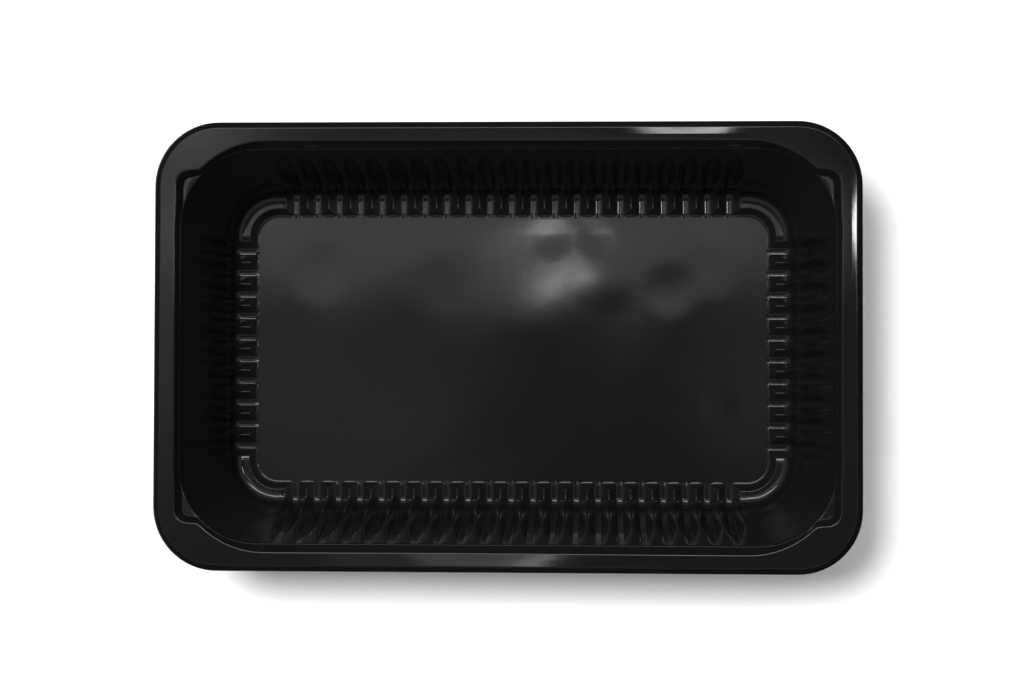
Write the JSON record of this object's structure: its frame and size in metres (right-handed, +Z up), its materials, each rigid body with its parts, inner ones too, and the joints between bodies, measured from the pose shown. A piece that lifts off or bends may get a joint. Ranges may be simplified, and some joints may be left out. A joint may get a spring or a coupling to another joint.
{
  "type": "modified atmosphere food tray",
  "caption": "Shallow rectangular thermoformed food tray with a flat sealing flange, stacking pockets in the corners, drafted ribbed walls and a toothed ledge round the sunken floor.",
  "frame": {"origin": "centre of the tray's footprint, on the surface it stands on", "axes": "+X along the length, +Y along the width, +Z up out of the open mouth"},
  "size_m": [0.22, 0.14, 0.046],
  "materials": {
    "tray": "semi-gloss black"
  },
  "bodies": {
    "root": {"tray": "tray"}
  },
  "joints": []
}
